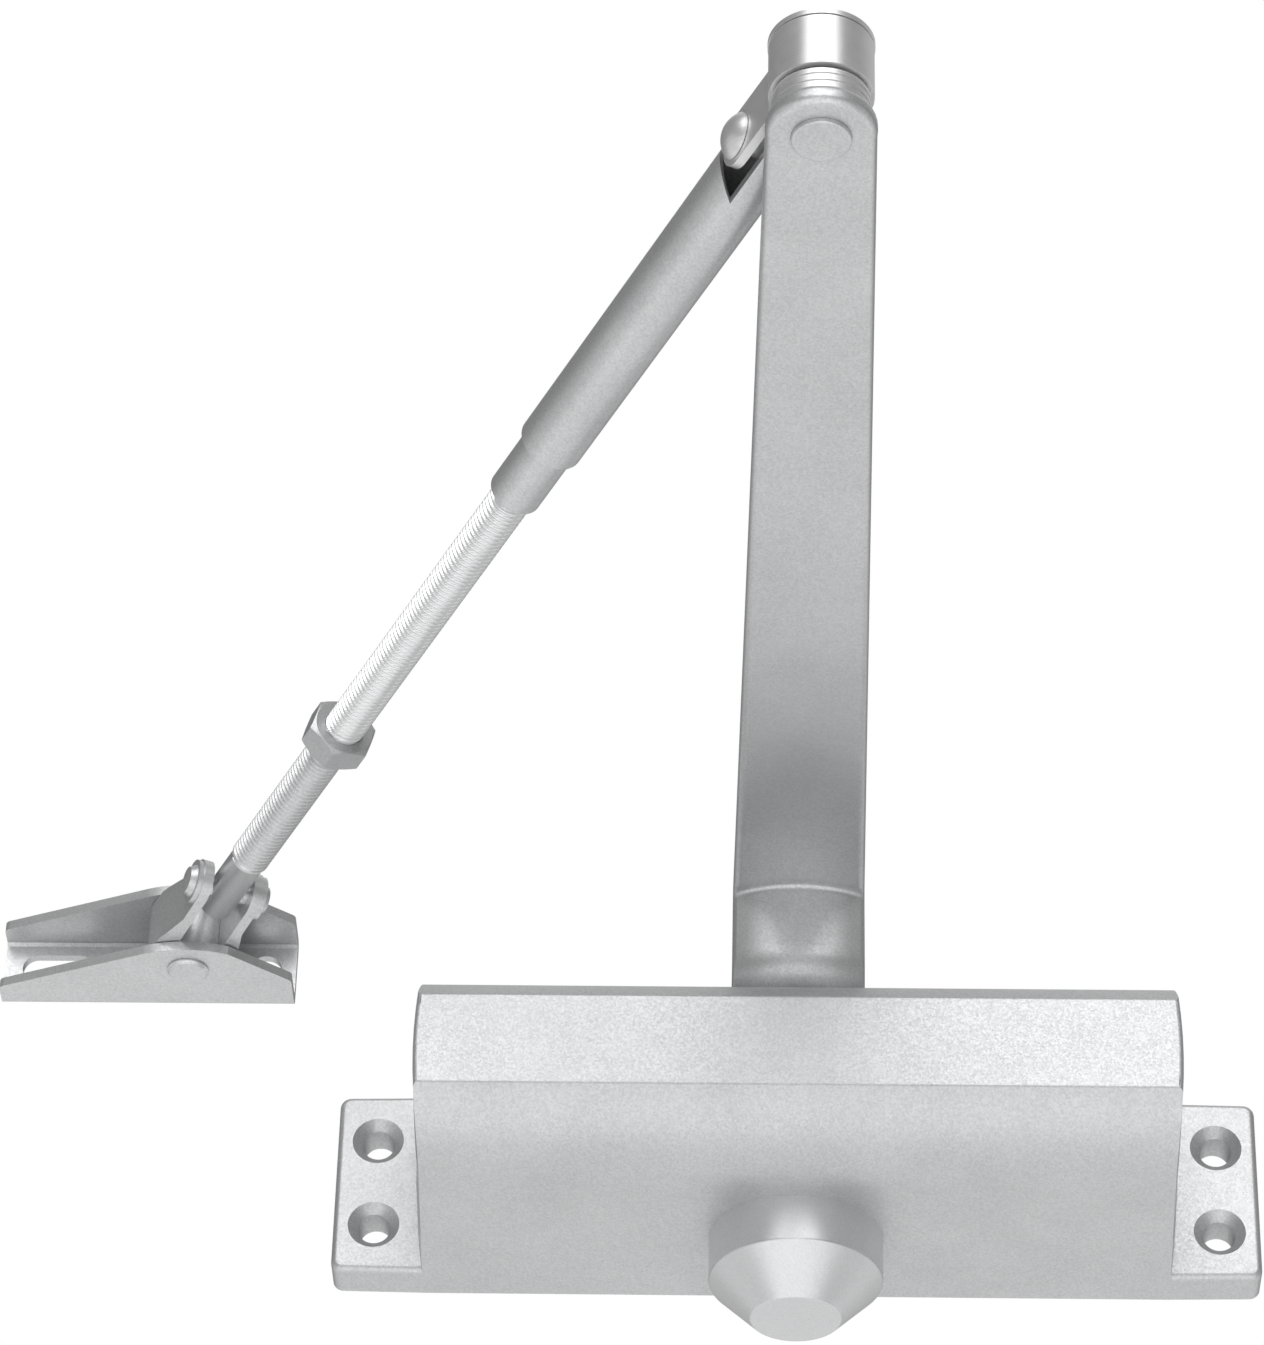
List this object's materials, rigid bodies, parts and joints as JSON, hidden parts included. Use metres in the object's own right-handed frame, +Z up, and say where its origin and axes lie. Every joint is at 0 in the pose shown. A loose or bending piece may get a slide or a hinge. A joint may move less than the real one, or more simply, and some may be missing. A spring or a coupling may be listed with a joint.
{
  "type": "door closer",
  "caption": "Surface-mounted rack-and-pinion door closer: long body with screw feet, bent main arm, elbow, adjustable threaded forearm and frame shoe.",
  "frame": {"origin": "centre of the four mounting holes, on the back face that lies against the door", "axes": "+X along the body to the right, +Y into the door, +Z up with the arms above the body"},
  "size_m": [0.2532, 0.2767, 0.105],
  "materials": {
    "painted_body": "fine silver metallic paint, satin",
    "painted_arm": "fine silver metallic paint, satin",
    "painted_shoe": "fine silver metallic paint, satin",
    "zinc_thread": "bright zinc, glossy",
    "satin_steel": "turned steel, satin",
    "dark_steel": "hardened steel, ground",
    "cap_metal": "smooth silver, satin",
    "spring_steel": "oiled spring steel",
    "bronze": "sintered bronze",
    "seal_rubber": "black nitrile rubber"
  },
  "bodies": {
    "body": {"body_casting": "painted_body", "end_plug_left": "satin_steel", "end_plug_right": "satin_steel", "plug_rings": "seal_rubber", "valve_rings": "seal_rubber", "spindle_bearings": "bronze", "gland_nuts": "satin_steel", "spindle_seals": "seal_rubber", "pinion_cap": "cap_metal", "closing_spring": "spring_steel"},
    "closing_valve": {"closing_valve": "satin_steel"},
    "latching_valve": {"latching_valve": "satin_steel"},
    "arm": {"pinion_spindle": "dark_steel", "main_arm": "painted_arm", "arm_washer": "satin_steel", "arm_screw": "satin_steel", "elbow_pin": "painted_arm", "elbow_collar": "satin_steel", "elbow_cap": "satin_steel"},
    "piston": {"piston": "dark_steel", "piston_ring": "seal_rubber", "check_ball": "satin_steel", "check_retainer": "satin_steel"},
    "strap": {"elbow_strap": "satin_steel", "elbow_bush": "bronze", "tilt_rivet": "satin_steel"},
    "tube": {"fore_tube": "painted_arm"},
    "rod": {"fore_rod": "zinc_thread"},
    "nut": {"jam_nut": "painted_shoe"},
    "yoke": {"yoke": "painted_shoe", "yoke_bush": "satin_steel", "cross_rivet": "painted_shoe", "cross_washers": "painted_shoe"},
    "shoe": {"shoe_bracket": "painted_shoe", "shoe_pin": "painted_shoe"}
  },
  "joints": [
    {"name": "spindle_turn", "type": "hinge", "parent": "body", "child": "arm", "pos_m": [0, -0.0225, 0], "axis": [0, 0, -1], "range_deg": [0, 170], "stiffness_Nm_per_rad": 2, "springref_deg": -34.38},
    {"name": "piston_slide", "type": "slide", "parent": "body", "child": "piston", "axis": [-1, 0, 0], "range_m": [0, 0.0212], "deforming": ["closing_spring"]},
    {"name": "closing_valve_turn", "type": "hinge", "parent": "body", "child": "closing_valve", "pos_m": [-0.07, -0.014, 0.009], "axis": [1, 0, 0], "range_deg": [-180, 180]},
    {"name": "latching_valve_turn", "type": "hinge", "parent": "body", "child": "latching_valve", "pos_m": [-0.07, -0.014, -0.009], "axis": [1, 0, 0], "range_deg": [-180, 180]},
    {"name": "elbow_turn", "type": "hinge", "parent": "arm", "child": "strap", "pos_m": [0.00257, -0.26749, 0.0595], "axis": [0, 0, 1], "range_deg": [-8, 145]},
    {"name": "tube_tilt", "type": "hinge", "parent": "strap", "child": "tube", "pos_m": [-0.00632, -0.24957, 0.0595], "axis": [-0.8959, -0.4442, 0], "range_deg": [-3, 3]},
    {"name": "rod_slide", "type": "slide", "parent": "tube", "child": "rod", "axis": [-0.444, 0.8957, -0.024], "range_m": [-0.03, 0.02]},
    {"name": "nut_turn", "type": "hinge", "parent": "rod", "child": "nut", "pos_m": [-0.08849, -0.08382, 0.05505], "axis": [-0.444, 0.8957, -0.024], "continuous": true},
    {"name": "yoke_tilt", "type": "hinge", "parent": "rod", "child": "yoke", "pos_m": [-0.11434, -0.03167, 0.05365], "axis": [-0.8959, -0.4442, 0], "range_deg": [-3, 3]},
    {"name": "shoe_turn", "type": "hinge", "parent": "yoke", "child": "shoe", "pos_m": [-0.123, -0.0142, 0.05365], "axis": [0, 0, 1], "range_deg": [-43, 95]}
  ],
  "couplings": [
    {"joint": "piston_slide", "follows": "spindle_turn", "m_per_rad": 0.007}
  ]
}
